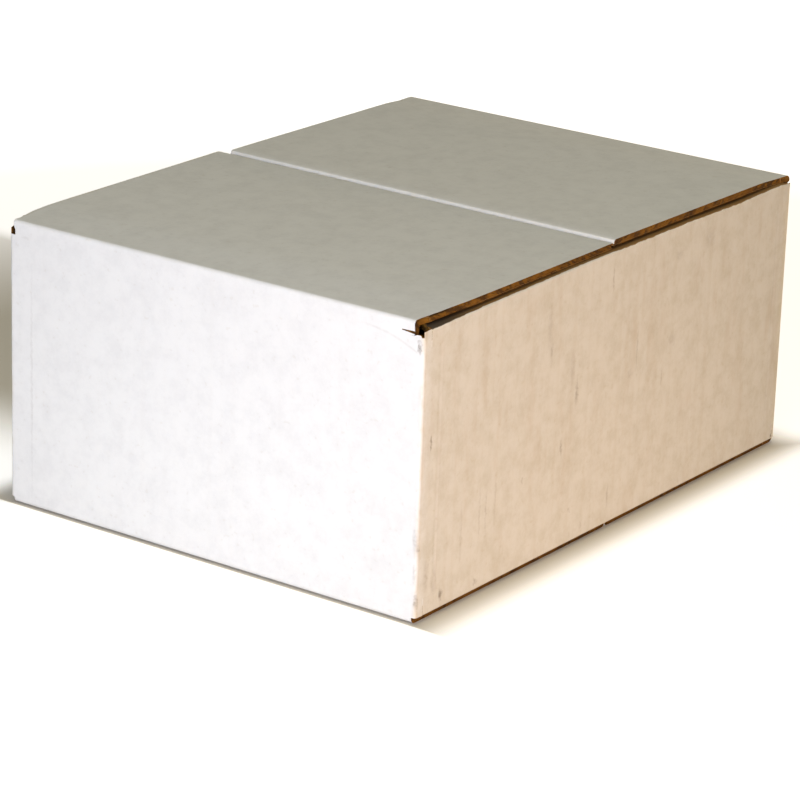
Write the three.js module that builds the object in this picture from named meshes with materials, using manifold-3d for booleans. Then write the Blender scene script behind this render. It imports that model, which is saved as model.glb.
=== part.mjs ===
// A closed slotted carton of white corrugated board that holds a lift-out insert of crossed dividers.
// Millimetres, +Z up. The origin is on the floor under the middle of the carton.
// The front panel faces -Y and the right panel faces +X. The two outer flaps fold from the front
// and back panels and meet over the middle; the two inner flaps fold from the left and right panels.
import * as THREE from 'three';
import { mergeVertices } from 'three/addons/utils/BufferGeometryUtils.js';
import Module from 'manifold-3d';

// Carton
const boardThickness = 3; // single-wall board, fine flute
const insideWidth = 228.6; // along X, 9 in
const insideLength = 304.8; // along Y, 12 in
const insideHeight = 125.4; // between the inner flaps, 5 in nominal
const topGap = 2; // between the outer and inner top flaps, which spring apart
const baseGap = 0.4; // between the outer and inner base flaps, which are glued
const tabGap = 0.4; // between the maker's tab and the back panel
const scoreGap = 0.3; // between a panel and the flap folded from it
const buttGap = 0.1; // between two panels where their board meets at a corner

// Flaps
const seamGap = 0.6; // between the two outer flaps
const seamOffset = 3; // the seam lies this far in front of the middle
const seamLift = 2; // the back flap's free edge stands this much proud
const slotInset = 2.5; // an outer flap's ends stop short of the side panels' faces
const innerFlapDepth = 63.5; // 2.5 in
const innerFlapEndGap = 2; // between an inner flap's ends and the front and back panels
const innerFlapTaper = 32; // each end of an inner flap draws in by this much at its free edge
const edgeCrushDepth = 1; // the knife thins a free edge by this much
const edgeCrushWidth = 5; // over this width

// Slots at the panel corners
const slotWidth = 4; // into the front and back panels
const slotDepth = 4.5;

// Maker's joint, inside the back left corner
const tabWidth = 32;
const tabTaper = 10; // the tab's free edge is shorter by this much at each end
const tabEndGap = 8; // above the pad, and below the inner flaps
const glueSkin = 0.05; // air left either side of a glue film
const tabGlueWidth = 12;
const tabGlueEndGap = 14;

// Base glue
const beadWidth = 8;
const beadLength = 90;

// Insert
const padThickness = 3;
const dividerThickness = 3;
const insertClearance = 1.2; // between the insert and the carton's walls
const seatGap = 0.2; // under the pad and under the dividers
const headspace = 22; // above the dividers
const cellsAcross = 3;
const cellsAlong = 4;
const lapClearance = 0.4; // around a divider in its slot
const dividerCorner = 8; // radius of a divider's top corners
const padCorner = 4;
const padTabGap = 0.8; // the pad is this much short of the maker's tab, so that it lifts past it

const arcSteps = 6; // segments in a quarter turn

// Sizes that follow from those above
const width = insideWidth + 2 * boardThickness;
const length = insideLength + 2 * boardThickness;
const topLayers = 2 * boardThickness + topGap;
const baseLayers = 2 * boardThickness + baseGap;
const height = insideHeight + topLayers + baseLayers;
const halfWidth = width / 2;
const halfLength = length / 2;
const padTop = baseLayers + seatGap + padThickness;
const insertBase = padTop + seatGap;
const ceiling = height - topLayers;
const insertHeight = ceiling - headspace - insertBase;
const beadThickness = baseGap - 2 * glueSkin;
const tabGlueThickness = tabGap - 2 * glueSkin;

const whiteBoard = new THREE.MeshStandardMaterial({ color: 0xe9e7e1, roughness: 0.85, metalness: 0 });
const kraftBoard = new THREE.MeshStandardMaterial({ color: 0xb08552, roughness: 0.9, metalness: 0 });
const hotMelt = new THREE.MeshStandardMaterial({ color: 0xd9c48f, roughness: 0.45, metalness: 0 });

const wasm = await Module();
wasm.setup();

function toSolid(geometry) {
  const bare = geometry.clone();
  bare.deleteAttribute('normal');
  bare.deleteAttribute('uv');
  const merged = mergeVertices(bare, 1e-4);
  const vertProperties = new Float32Array(merged.attributes.position.array);
  const triVerts = new Uint32Array(merged.index.array);
  return new wasm.Manifold(new wasm.Mesh({ numProp: 3, vertProperties, triVerts }));
}

function toGeometry(solid) {
  const mesh = solid.getMesh();
  const geometry = new THREE.BufferGeometry();
  geometry.setAttribute('position', new THREE.BufferAttribute(mesh.vertProperties, 3));
  geometry.setIndex(new THREE.BufferAttribute(mesh.triVerts, 1));
  geometry.computeVertexNormals();
  return geometry;
}

function overlapOf(a, b) {
  return toGeometry(toSolid(a).intersect(toSolid(b)));
}

function extrude(shape, depth) {
  return new THREE.ExtrudeGeometry(shape, { depth, bevelEnabled: false, curveSegments: arcSteps });
}

// A shape drawn in X and Y, raised from z0 to z1.
function raised(shape, z0, z1) {
  return extrude(shape, z1 - z0).translate(0, 0, z0);
}

// A shape drawn in Y and Z, drawn out along X from x0 to x1.
function drawnAlongX(shape, x0, x1) {
  const turn = new THREE.Matrix4().makeBasis(
    new THREE.Vector3(0, 1, 0), new THREE.Vector3(0, 0, 1), new THREE.Vector3(1, 0, 0));
  return extrude(shape, x1 - x0).applyMatrix4(turn).translate(x0, 0, 0);
}

// A shape drawn in X and Z, drawn out along Y from y0 to y1.
function drawnAlongY(shape, y0, y1) {
  const turn = new THREE.Matrix4().makeBasis(
    new THREE.Vector3(1, 0, 0), new THREE.Vector3(0, 0, 1), new THREE.Vector3(0, -1, 0));
  return extrude(shape, y1 - y0).applyMatrix4(turn).translate(0, y1, 0);
}

function polygon(points) {
  return new THREE.Shape(points.map(([u, v]) => new THREE.Vector2(u, v)));
}

function rectangle(u0, v0, u1, v1) {
  return polygon([[u0, v0], [u1, v0], [u1, v1], [u0, v1]]);
}

function roundedRectangle(halfU, halfV, radius) {
  const shape = new THREE.Shape();
  shape.moveTo(-halfU + radius, -halfV);
  shape.lineTo(halfU - radius, -halfV);
  shape.absarc(halfU - radius, -halfV + radius, radius, -Math.PI / 2, 0);
  shape.lineTo(halfU, halfV - radius);
  shape.absarc(halfU - radius, halfV - radius, radius, 0, Math.PI / 2);
  shape.lineTo(-halfU + radius, halfV);
  shape.absarc(-halfU + radius, halfV - radius, radius, Math.PI / 2, Math.PI);
  shape.lineTo(-halfU, -halfV + radius);
  shape.absarc(-halfU + radius, -halfV + radius, radius, Math.PI, 1.5 * Math.PI);
  return shape;
}

function stadium(halfU, halfV) {
  const reach = halfV - halfU;
  const shape = new THREE.Shape();
  shape.moveTo(halfU, -reach);
  shape.lineTo(halfU, reach);
  shape.absarc(0, reach, halfU, 0, Math.PI);
  shape.lineTo(-halfU, -reach);
  shape.absarc(0, -reach, halfU, Math.PI, 2 * Math.PI);
  return shape;
}

const carton = new THREE.Group();

function add(name, geometry, material, parent = carton) {
  const mesh = new THREE.Mesh(geometry, material);
  mesh.name = name;
  parent.add(mesh);
  return mesh;
}

// Front and back panels. Each carries the rolled vertical corners, and is slotted at its four corners.
function endPanelGeometry() {
  const roll = boardThickness;
  const plan = new THREE.Shape();
  plan.moveTo(-halfWidth + roll, -halfLength);
  plan.lineTo(halfWidth - roll, -halfLength);
  plan.absarc(halfWidth - roll, -halfLength + roll, roll, -Math.PI / 2, 0);
  plan.lineTo(-halfWidth, -halfLength + boardThickness);
  plan.absarc(-halfWidth + roll, -halfLength + roll, roll, Math.PI, 1.5 * Math.PI);

  const low = boardThickness + scoreGap;
  const high = height - boardThickness - scoreGap;
  const tongue = halfWidth - slotWidth;
  const outline = polygon([
    [-tongue, low], [tongue, low], [tongue, low + slotDepth],
    [halfWidth, low + slotDepth], [halfWidth, high - slotDepth], [tongue, high - slotDepth],
    [tongue, high], [-tongue, high], [-tongue, high - slotDepth],
    [-halfWidth, high - slotDepth], [-halfWidth, low + slotDepth], [-tongue, low + slotDepth],
  ]);
  const margin = boardThickness;
  return overlapOf(
    raised(plan, low, high),
    drawnAlongY(outline, -halfLength - margin, -halfLength + boardThickness + margin));
}

const endPanels = { front_panel: 0, back_panel: Math.PI };
for (const [name, turn] of Object.entries(endPanels)) {
  add(name, endPanelGeometry(), whiteBoard).rotation.z = turn;
}

// Left and right panels, between the front and back panels.
const sideReach = insideLength / 2 - buttGap;
const sideLow = baseLayers + scoreGap;
const sideHigh = ceiling - scoreGap;
const sidePanels = { right_panel: 0, left_panel: Math.PI };
for (const [name, turn] of Object.entries(sidePanels)) {
  const plan = rectangle(halfWidth - boardThickness, -sideReach, halfWidth, sideReach);
  add(name, raised(plan, sideLow, sideHigh), whiteBoard).rotation.z = turn;
}

// A flap in its own frame: the fold's outer corner lies along X at the origin, and the flap runs
// out along Y with its white face up. Its fold is rounded, and its free edge is thinned.
function flapGeometry(foldLength, depth, taper) {
  const section = new THREE.Shape();
  section.moveTo(0, -boardThickness);
  section.lineTo(depth, -boardThickness);
  section.lineTo(depth, -edgeCrushDepth);
  section.lineTo(depth - edgeCrushWidth, 0);
  section.lineTo(boardThickness, 0);
  section.absarc(boardThickness, -boardThickness, boardThickness, Math.PI / 2, Math.PI);
  const half = foldLength / 2;
  const outline = polygon([[-half, 0], [half, 0], [half - taper, depth], [taper - half, depth]]);
  const margin = boardThickness;
  return overlapOf(
    drawnAlongX(section, -half - margin, half + margin),
    raised(outline, -boardThickness - margin, margin));
}

// Places a flap with its fold on an edge of the carton: bearing turns it about Z, so that it runs
// inward from that edge; a base flap is turned over, and lift raises its free edge.
function addFlap(name, geometry, { x, y, z, bearing, base = false, lift = 0 }) {
  const edge = new THREE.Group();
  edge.position.set(x, y, z);
  edge.rotation.z = bearing;
  const fold = new THREE.Group();
  fold.rotation.set(lift, base ? Math.PI : 0, 0);
  edge.add(fold);
  carton.add(edge);
  add(name, geometry, whiteBoard, fold);
}

const outerFold = width - 2 * slotInset;
const outerDepth = halfLength - seamGap / 2;
const frontDepth = outerDepth - seamOffset;
const backDepth = outerDepth + seamOffset;
const baseFlap = flapGeometry(outerFold, outerDepth, 0);
const innerFold = insideLength - 2 * innerFlapEndGap;
const innerFlap = flapGeometry(innerFold, innerFlapDepth, innerFlapTaper);
const seamTilt = Math.asin(seamLift / backDepth);

const front = { x: 0, y: -halfLength, bearing: 0 };
const back = { x: 0, y: halfLength, bearing: Math.PI };
const left = { x: -halfWidth, y: 0, bearing: -Math.PI / 2 };
const right = { x: halfWidth, y: 0, bearing: Math.PI / 2 };

const topInnerFold = height - boardThickness - topGap;
const baseInnerFold = boardThickness + baseGap;
addFlap('front_top_flap', flapGeometry(outerFold, frontDepth, 0), { ...front, z: height });
addFlap('back_top_flap', flapGeometry(outerFold, backDepth, 0), { ...back, z: height, lift: seamTilt });
addFlap('left_top_flap', innerFlap, { ...left, z: topInnerFold });
addFlap('right_top_flap', innerFlap, { ...right, z: topInnerFold });
addFlap('front_base_flap', baseFlap, { ...front, z: 0, base: true });
addFlap('back_base_flap', baseFlap, { ...back, z: 0, base: true });
addFlap('left_base_flap', innerFlap, { ...left, z: baseInnerFold, base: true });
addFlap('right_base_flap', innerFlap, { ...right, z: baseInnerFold, base: true });

// Hot-melt beads between the base flaps, one where each inner flap crosses each outer flap.
const beadX = insideWidth / 2 - innerFlapDepth / 2;
const beadY = length / 4;
const beadLow = boardThickness + glueSkin;
for (const [endName, endSign] of [['front', -1], ['back', 1]]) {
  for (const [sideName, sideSign] of [['left', -1], ['right', 1]]) {
    const bead = raised(stadium(beadWidth / 2, beadLength / 2), beadLow, beadLow + beadThickness);
    add(`${endName}_${sideName}_bead`, bead, hotMelt).position.set(sideSign * beadX, endSign * beadY, 0);
  }
}

// Maker's joint: a tab on the left panel, glued to the inside of the back panel.
const tabRoot = -insideWidth / 2 + buttGap;
const tabLow = padTop + tabEndGap;
const tabHigh = ceiling - tabEndGap;
const tabOutline = polygon([
  [tabRoot, tabLow], [tabRoot + tabWidth, tabLow + tabTaper],
  [tabRoot + tabWidth, tabHigh - tabTaper], [tabRoot, tabHigh],
]);
const tabFace = insideLength / 2 - tabGap;
add('glue_tab', drawnAlongY(tabOutline, tabFace - boardThickness, tabFace), kraftBoard);

const tabGlueReach = (tabHigh - tabLow) / 2 - tabGlueEndGap;
const tabGlue = drawnAlongY(stadium(tabGlueWidth / 2, tabGlueReach), 0, tabGlueThickness);
const tabGlueX = tabRoot + tabWidth / 2;
add('tab_glue', tabGlue, hotMelt).position.set(tabGlueX, tabFace + glueSkin, (tabLow + tabHigh) / 2);

// Insert: a pad that levels the base, and crossed dividers that lap at half height.
const insertWidth = insideWidth - 2 * insertClearance;
const insertLength = insideLength - 2 * insertClearance;
const padHalfLength = Math.min(insertLength / 2, tabFace - boardThickness - padTabGap);
const padPlan = roundedRectangle(insertWidth / 2, padHalfLength, padCorner);
add('insert_pad', raised(padPlan, padTop - padThickness, padTop), kraftBoard);

const lapHalf = dividerThickness / 2 + lapClearance;
const lapDepth = insertHeight / 2 + lapClearance;

function pitches(cells, span) {
  return Array.from({ length: cells - 1 }, (_, i) => (i + 1 - cells / 2) * span / cells);
}

// A divider's outline in run and height, with rounded top corners and a lap slot at each crossing.
function dividerOutline(run, crossings, slotsFromTop) {
  const half = run / 2;
  const shape = new THREE.Shape();
  shape.moveTo(-half, 0);
  if (!slotsFromTop) {
    for (const at of crossings) {
      shape.lineTo(at - lapHalf, 0);
      shape.lineTo(at - lapHalf, lapDepth);
      shape.lineTo(at + lapHalf, lapDepth);
      shape.lineTo(at + lapHalf, 0);
    }
  }
  shape.lineTo(half, 0);
  shape.lineTo(half, insertHeight - dividerCorner);
  shape.absarc(half - dividerCorner, insertHeight - dividerCorner, dividerCorner, 0, Math.PI / 2);
  if (slotsFromTop) {
    for (const at of crossings.toReversed()) {
      shape.lineTo(at + lapHalf, insertHeight);
      shape.lineTo(at + lapHalf, insertHeight - lapDepth);
      shape.lineTo(at - lapHalf, insertHeight - lapDepth);
      shape.lineTo(at - lapHalf, insertHeight);
    }
  }
  shape.absarc(dividerCorner - half, insertHeight - dividerCorner, dividerCorner, Math.PI / 2, Math.PI);
  return shape;
}

const longPlaces = pitches(cellsAcross, insideWidth);
const crossPlaces = pitches(cellsAlong, insideLength);
const halfDivider = dividerThickness / 2;

longPlaces.forEach((x, i) => {
  const outline = dividerOutline(insertLength, crossPlaces, true);
  const geometry = drawnAlongX(outline, -halfDivider, halfDivider);
  add(`long_divider_${i + 1}`, geometry, kraftBoard).position.set(x, 0, insertBase);
});

crossPlaces.forEach((y, i) => {
  const outline = dividerOutline(insertWidth, longPlaces, false);
  const geometry = drawnAlongY(outline, -halfDivider, halfDivider);
  add(`cross_divider_${i + 1}`, geometry, kraftBoard).position.set(0, y, insertBase);
});

export default carton;
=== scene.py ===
import math

import bpy
from mathutils import Euler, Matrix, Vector


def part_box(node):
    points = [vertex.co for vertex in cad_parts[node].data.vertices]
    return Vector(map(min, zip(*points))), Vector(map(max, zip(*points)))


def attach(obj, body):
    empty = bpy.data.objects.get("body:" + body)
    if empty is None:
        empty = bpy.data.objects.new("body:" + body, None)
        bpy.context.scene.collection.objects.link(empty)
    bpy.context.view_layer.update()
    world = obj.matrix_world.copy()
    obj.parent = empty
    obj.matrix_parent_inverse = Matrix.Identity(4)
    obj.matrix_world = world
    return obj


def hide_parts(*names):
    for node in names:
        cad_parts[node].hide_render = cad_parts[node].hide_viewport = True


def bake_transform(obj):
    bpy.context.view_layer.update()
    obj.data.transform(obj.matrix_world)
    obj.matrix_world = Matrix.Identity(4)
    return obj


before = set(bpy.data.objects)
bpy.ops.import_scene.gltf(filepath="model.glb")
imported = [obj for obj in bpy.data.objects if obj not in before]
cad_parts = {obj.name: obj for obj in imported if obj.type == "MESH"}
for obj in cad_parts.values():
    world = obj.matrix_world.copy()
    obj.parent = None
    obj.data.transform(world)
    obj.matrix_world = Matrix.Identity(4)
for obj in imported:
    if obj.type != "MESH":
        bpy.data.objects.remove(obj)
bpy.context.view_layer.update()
scene = bpy.context.scene
mm = 0.001
tiny = 1e-6  # points nearer than this are one
hair = 0.1 * mm  # points nearer than this to a row are in it
mostly = 0.5  # a normal's share along an axis for a face to face that way
squarely = 0.9

# where the carton's faces and folds are, read from the frame
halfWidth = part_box("front_panel")[1].x
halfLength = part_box("back_panel")[1].y
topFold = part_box("front_top_flap")[1].z
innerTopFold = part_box("right_top_flap")[1].z
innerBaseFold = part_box("right_base_flap")[0].z

# the board: three plies, a liner on each side of a fluted paper
thick = 3 * mm
linerThick = 0.35 * mm
paperThick = 0.22 * mm
waveLength = 6.5 * mm
wavePoints = 8  # points on a wave of the fluted paper
ripplePoints = 4  # points on a ripple of the liner
rippleDepth = 0.05 * mm  # how far the liner sinks between flutes
wallLeg = 8 * mm  # share of a wall that its fold takes with it
foldEnd = 9 * mm  # crushed board ends here, flutes begin
bendZone = 5 * mm  # the bend, measured across the fold
crushWidth = 5 * mm
swing = (thick - 2 * linerThick - paperThick) / 2  # of the fluted paper

camera = {  # from a fit to the carton's edges in an 800 by 800 frame
    "lens": 162,
    "sensor": 36,
    "place": (0.94459, -1.34378, 0.60823),
    "turn": (70.7923, -1.7837, 35.8572),
}


def makeCamera():
    data = bpy.data.cameras.new("camera")
    data.lens = camera["lens"]
    data.sensor_width = camera["sensor"]
    obj = bpy.data.objects.new("camera", data)
    obj.location = camera["place"]
    obj.rotation_euler = [math.radians(a) for a in camera["turn"]]
    scene.collection.objects.link(obj)
    scene.camera = obj


makeCamera()
print("camera placed")


# ways of working on a mesh by hand

def setMode(mode):
    bpy.ops.object.mode_set(mode=mode)


def selectAll():
    bpy.ops.mesh.select_all(action="SELECT")


def deselect():
    if bpy.context.object and bpy.context.object.mode == "EDIT":
        setMode("OBJECT")
    bpy.ops.object.select_all(action="DESELECT")


def named(name):
    obj = bpy.context.object
    obj.name = obj.data.name = name
    return obj


def focus(obj):
    deselect()
    obj.select_set(True)
    bpy.context.view_layer.objects.active = obj


def choose(obj, kind, test):
    # selects the points, edges or faces that pass the test, and leaves the mesh in edit mode
    setMode("OBJECT")
    mesh = obj.data
    for title, items in (("VERT", mesh.vertices), ("EDGE", mesh.edges), ("FACE", mesh.polygons)):
        chosen = [bool(test(i)) for i in items] if title == kind else [False] * len(items)
        items.foreach_set("select", chosen)
    setMode("EDIT")
    bpy.ops.mesh.select_mode(type=kind)


def pick(obj, test):
    choose(obj, "VERT", lambda v: test(v.co))


def pickEdges(obj, test):
    choose(obj, "EDGE", lambda e: test(*(obj.data.vertices[i].co for i in e.vertices)))


def dropFaces(obj, test):
    # deletes the faces whose middle passes the test
    setMode("OBJECT")
    scene.tool_settings.mesh_select_mode = (False, False, True)  # spares a face between two chosen ones
    choose(obj, "FACE", lambda p: test(p.center))
    bpy.ops.mesh.delete(type="FACE")


def move(x, y, z):
    bpy.ops.transform.translate(value=(x, y, z))


def weld():
    selectAll()
    bpy.ops.mesh.remove_doubles(threshold=tiny)


def turnAbout(centre, axis, angle):
    bpy.ops.transform.rotate(value=angle, orient_axis=axis, center_override=centre)


def cut(at, normal, clear=False, fill=False):
    setMode("EDIT")
    selectAll()
    bpy.ops.mesh.bisect(plane_co=at, plane_no=normal, clear_outer=clear, use_fill=fill)


def rectangle(name, width, length):
    # one face in X and Y about the origin, in edit mode
    deselect()
    bpy.ops.mesh.primitive_plane_add(size=1)
    obj = named(name)
    setMode("EDIT")
    bpy.ops.mesh.select_mode(type="VERT")
    bpy.ops.transform.resize(value=(width, length, 1))
    return obj


def edgeRow(name, length, columns):
    # a row of edges along X, in edit mode, to be drawn out along a path
    deselect()
    bpy.ops.mesh.primitive_grid_add(x_subdivisions=columns, y_subdivisions=1, size=length)
    obj = named(name)
    pick(obj, lambda co: co.y > 0)
    bpy.ops.mesh.delete(type="VERT")
    selectAll()
    move(0, length / 2, 0)
    return obj


def drawOut(path):
    # extrudes the selected row along a path given in Y and Z
    move(0, *path[0])
    for here, there in zip(path, path[1:]):
        step = (0, there[0] - here[0], there[1] - here[1])
        bpy.ops.mesh.extrude_region_move(TRANSFORM_OT_translate={"value": step})


def faceOut(obj, facing=lambda p: 0):
    # makes the normals agree, and flips them if most of the surface then faces the wrong way
    setMode("EDIT")
    selectAll()
    bpy.ops.mesh.normals_make_consistent(inside=False)
    setMode("OBJECT")
    if sum(p.area * facing(p) for p in obj.data.polygons) < 0:
        setMode("EDIT")
        bpy.ops.mesh.flip_normals()
        setMode("OBJECT")


def thicken(obj, thickness, offset=-1, raw=0):
    # raw: how much further on in the list the material of the new faces is
    focus(obj)
    wall = obj.modifiers.new("wall", "SOLIDIFY")
    wall.thickness = thickness
    wall.offset = offset
    wall.material_offset = wall.material_offset_rim = raw
    bpy.ops.object.modifier_apply(modifier=wall.name)


def swell(obj, axis, amount, share):
    # moves the points along an axis, each by its share of the amount
    focus(obj)
    group = obj.vertex_groups.new(name="swell")
    for v in obj.data.vertices:
        part = share(v.co)
        if part > 0:
            group.add([v.index], part, "REPLACE")
    push = obj.modifiers.new("push", "DISPLACE")
    push.direction = axis
    push.mid_level = 0
    push.strength = amount
    push.vertex_group = group.name
    bpy.ops.object.modifier_apply(modifier=push.name)
    obj.vertex_groups.clear()


def fade(value, start, end):
    # 0 at start, 1 at end, smooth between
    t = min(1.0, max(0.0, (value - start) / (end - start)))
    return t * t * (3 - 2 * t)


def between(value, points):
    # straight lines through points given as pairs in rising order
    for (a, low), (b, high) in zip(points, points[1:]):
        if value <= b:
            return low + (high - low) * max(0.0, value - a) / (b - a)
    return points[-1][1]


def settle(obj, place, turn=(0, 0, 0)):
    # puts a piece made about the origin in its place, within its mesh
    focus(obj)
    obj.location = place
    obj.rotation_euler = turn
    bpy.ops.object.transform_apply(location=True, rotation=True, scale=True)


def smooth(obj, degrees=35):
    focus(obj)
    bpy.ops.object.shade_smooth_by_angle(angle=math.radians(degrees))


def paint(obj, index, test):
    # gives the faces that pass the test another material of the piece's list
    for face in obj.data.polygons:
        if test(face):
            face.material_index = index


def copyOf(obj, name):
    focus(obj)
    bpy.ops.object.duplicate()
    return named(name)


def steps(start, end, count):
    return [start + (end - start) * i / count for i in range(count + 1)]


def arcPath(centre, radius, start, end, count):
    # points in Y and Z on an arc, angles in degrees from +Y
    angles = [math.radians(a) for a in steps(start, end, count)]
    return [(centre[0] + radius * math.cos(a), centre[1] + radius * math.sin(a)) for a in angles]


def wavesIn(width):
    return max(2, round(width / waveLength))


# materials: every pattern reads the place on the flat, unfolded blank, kept as a point attribute

def socketed(name, inputs, outputs):
    group = bpy.data.node_groups.new(name, "ShaderNodeTree")
    for title, kind in inputs.items():
        group.interface.new_socket(title, in_out="INPUT", socket_type="NodeSocket" + kind)
    for title in outputs:
        group.interface.new_socket(title, in_out="OUTPUT", socket_type="NodeSocketFloat")
    given, out = group.nodes.new("NodeGroupInput"), group.nodes.new("NodeGroupOutput")
    return group, given.outputs, out.inputs


def feed(value, socket):
    if isinstance(value, (int, float)):
        socket.default_value = value
    elif isinstance(value, tuple):
        socket.default_value = (*value, 1) if len(socket.default_value) > len(value) else value
    else:
        socket.id_data.links.new(value, socket)


def feedAll(node, values):
    for title, value in values.items():
        feed(value, node.inputs[title])


def maths(operation, a, b=0.0):
    made = a.id_data.nodes.new("ShaderNodeMath")
    made.operation = operation
    feed(a, made.inputs[0])
    feed(b, made.inputs[1])
    return made.outputs[0]


def times(a, b):
    return maths("MULTIPLY", a, b)


def most(a, b):
    return maths("MAXIMUM", a, b)


def vectors(operation, a, b=(0.0, 0.0, 0.0)):
    made = a.id_data.nodes.new("ShaderNodeVectorMath")
    made.operation = operation
    feed(a, made.inputs[0])
    feed(b, made.inputs[1])
    return made.outputs["Value" if operation == "LENGTH" else "Vector"]


def remap(value, low, high, start=0.0, end=1.0):
    # start below low, end above high, smooth between
    made = value.id_data.nodes.new("ShaderNodeMapRange")
    made.interpolation_type = "SMOOTHSTEP"
    feedAll(made, {"Value": value, "From Min": low, "From Max": high, "To Min": start, "To Max": end})
    return made.outputs["Result"]


def noise(place, scale, detail, roughness=0.5, squeeze=1.0, out="Fac"):
    # squeeze: of the pattern along Z, so that below 1 it is drawn out
    made = place.id_data.nodes.new("ShaderNodeTexNoise")
    spread = vectors("MULTIPLY", place, (1, 1, squeeze))
    feedAll(made, {"Vector": spread, "Scale": scale, "Detail": detail, "Roughness": roughness})
    return made.outputs[out]


def mixed(fac, a, b):
    made = fac.id_data.nodes.new("ShaderNodeMix")
    made.data_type = "RGBA"
    feed(fac, made.inputs["Factor"])
    feed(a, made.inputs[6])
    feed(b, made.inputs[7])
    return made.outputs[2]


def stain(colour, tint, mask, share=1.0):
    return mixed(times(mask, share), colour, tint)


def axes(place):
    split = place.id_data.nodes.new("ShaderNodeSeparateXYZ")
    feed(place, split.inputs[0])
    return split.outputs


sheet = {  # a noise here is its scale, detail, roughness and squeeze
    "cloud": (105, 6, 0.74),
    "smudge": (90, 4, 0.62, 0.28),
    "smudgeRange": (0.48, 0.78),
    "fibre": (900, 3, 0.5, 0.35),
    "fleck": (420, 1),
    "fleckRange": (0.70, 0.76),
    "streak": (95, 3),  # along one line
    "bump": 0.2 * mm,
    "shine": 0.2,
}


def makePaperGroup():
    # cloudiness of the sheet, its fibres, the odd fleck, and smudges along the flutes
    group, given, out = socketed("paper", {"Place": "Vector"}, ["Cloud", "Fibre", "Fleck", "Smudge"])
    found = {k: noise(given["Place"], *sheet[k]) for k in ("cloud", "smudge", "fibre", "fleck")}
    for kind in ("smudge", "fleck"):
        found[kind] = remap(found[kind], *sheet[kind + "Range"])
    for kind, value in found.items():
        feed(value, out[kind.title()])
    return group


def makeFluteGroup():
    # lines along the flutes, uneven from flute to flute; as colour they are partly the flutes printing
    # through a liner and partly painted flute shade
    group, given, out = socketed("flutes", {"Place": "Vector", "Along Y": "Float"}, ["Line", "Streak"])
    at = axes(given["Place"])
    across = group.nodes.new("ShaderNodeMix")
    feed(given["Along Y"], across.inputs["Factor"])
    feed(at["X"], across.inputs[2])
    feed(at["Y"], across.inputs[3])
    run = across.outputs[0]
    feed(maths("SINE", times(run, math.tau / waveLength)), out["Line"])
    uneven = group.nodes.new("ShaderNodeTexNoise")
    uneven.noise_dimensions = "1D"
    scale, detail = sheet["streak"]
    feedAll(uneven, {"W": run, "Scale": scale, "Detail": detail})
    feed(uneven.outputs["Fac"], out["Streak"])
    return group


marksAndShades = [  # handling marks, painted crease shade and a painted shadow, in mm on the blank: middle, half size, strength
    (117.3, -155.2, 36, 1.6, 1.6, 3.0, 0.75),  # near corner, down to the foot
    (115.5, -155.2, 40, 1.8, 2.0, 7.0, 0.30),
    (116.6, -155.2, 11, 1.4, 2.0, 5.0, 0.60),
    (115.6, -155.4, 24, 1.2, 2.0, 6.0, 0.25),
    # painted shadow under the torn lip below the near slot
    (114.6, -155.4, 127.2, 1.5, 2.0, 3.6, 0.95),
    (116.9, 153.6, 134.2, 2.0, 2.0, 1.8, 0.85),  # far corner
    (-103.9, -155.4, 62, 1.0, 2.0, 70, 0.12),  # front: painted shade along the crease near the left corner and its top end, then a smudge on top
    (-107.4, -155.4, 131.4, 2.6, 2.0, 1.3, 0.12),
    (-33.8, 155.4, 269, 3.2, 2.0, 2.0, 0.14),
]
sideMarks = [  # on the right panel, in Y and Z
    (-148.3, 82.5, 0.8, 5.0, 0.65), (-137.3, 9.2, 1.7, 3.6, 0.60),  # near corner
    (-143, 17.5, 2.6, 8.0, 0.18), (-149, 22, 2.6, 9.0, 0.16), (-110.2, 7.4, 2.4, 1.8, 0.35),
    (-123, 34, 1.2, 18, 0.13), (-109, 40, 1.0, 17, 0.15),  # scratches along the flutes
    (-104, 38, 1.0, 16, 0.17), (-97, 42, 1.0, 16, 0.13),
    (-58, 113, 2.4, 14, 0.16), (-56, 101, 1.4, 8.0, 0.22), (-38, 88, 2.6, 12, 0.16),  # smudges and dents
    (-33.6, 76, 1.3, 9.0, 0.30), (-44.6, 52, 1.0, 4.5, 0.34), (-75.7, 45, 1.0, 1.6, 0.30),
    (-36, 18.8, 1.8, 1.6, 0.24), (-25, 8.7, 2.0, 1.6, 0.22), (-2.8, 17, 1.0, 8.0, 0.20),
    (-6.6, 123, 0.9, 8.0, 0.25), (16.9, 84, 0.9, 13, 0.20), (12, 73, 3.5, 3.0, 0.16),
    (40, 63.8, 1.0, 6.0, 0.20), (50.8, 122, 4.0, 3.0, 0.16), (78, 124, 6.0, 6.0, 0.14),
    (48, 81, 4.0, 4.0, 0.14),
    (149.6, 5.6, 0.5, 3.0, 0.90),  # far corner
]
sideX, sideDepth = 117.3, 2.0  # of the panel's face, and half size across it
marksAndShades += [(sideX, y, z, sideDepth, halfY, halfZ, strength) for y, z, halfY, halfZ, strength in sideMarks]
markEdge = {
    "ragged": (380, 4, 0.65),
    "shift": (3 * mm, 4 * mm, 6 * mm),
    "fade": (0.2, 1.1),  # a mark runs out between these shares of its half size
    "patchy": (450, 3),
    "patchRange": (0.35, 0.6, 0.45, 1.0),
}
bow = {  # painted shade along a bent crease on the front panel
    "from": (84 * mm, 132 * mm),
    "to": 113 * mm,
    "bend": 8.5,
    "half": 1.0 * mm,
    "strength": 0.13,
    "onset": 6 * mm,
}


# painted crease shade
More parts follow.
